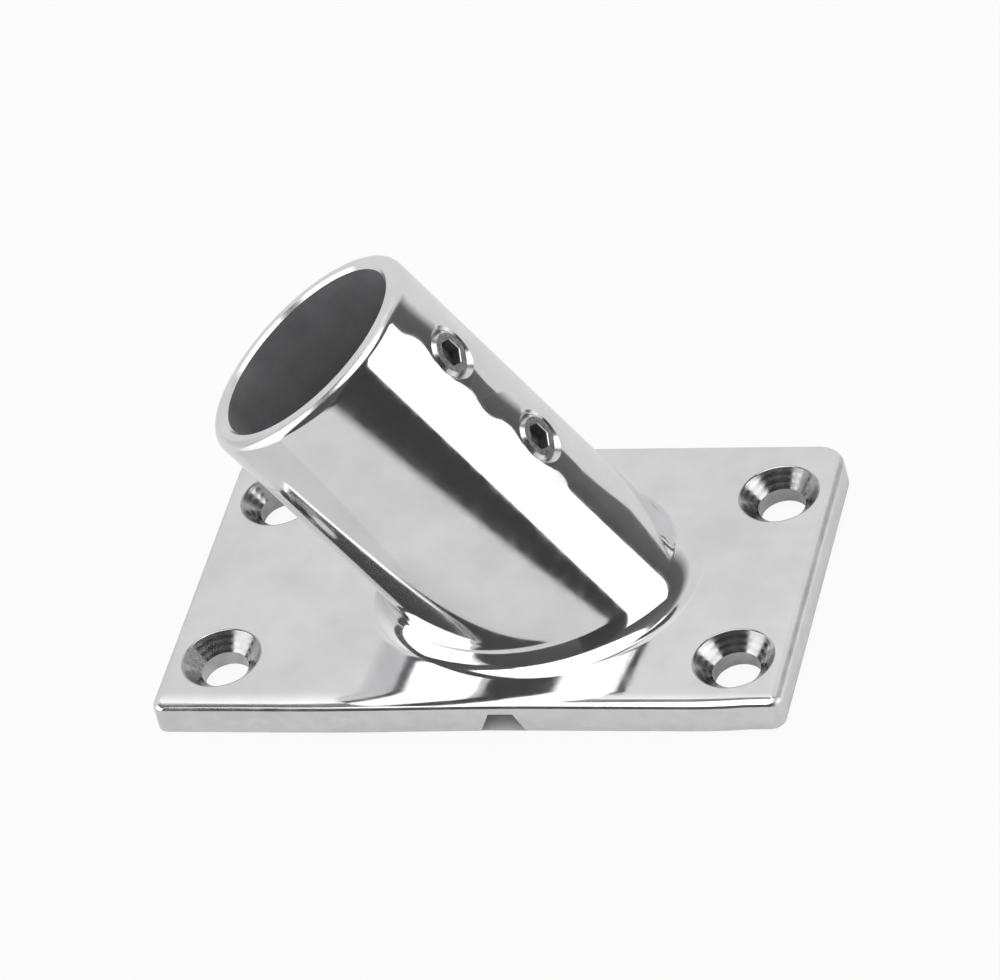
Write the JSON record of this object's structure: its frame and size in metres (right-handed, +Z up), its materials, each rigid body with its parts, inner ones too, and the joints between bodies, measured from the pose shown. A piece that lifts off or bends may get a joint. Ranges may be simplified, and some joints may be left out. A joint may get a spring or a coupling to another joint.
{
  "type": "angled rail base",
  "caption": "Cast rectangular base plate with a round tube socket leaning at sixty degrees, countersunk screw holes and grub screws that hold the tube.",
  "frame": {"origin": "centre of the plate's underside", "axes": "+X along the plate's length and away from the way the socket leans, +Y across the plate, +Z up from the plate"},
  "size_m": [0.08, 0.047, 0.0491],
  "materials": {
    "polished_steel": "mirror polished stainless casting, dark as cast inside the bore",
    "screw_steel": "bright turned stainless"
  },
  "bodies": {
    "root": {"flange_casting": "polished_steel", "upper_grub_screw": "screw_steel", "lower_grub_screw": "screw_steel"}
  },
  "joints": []
}
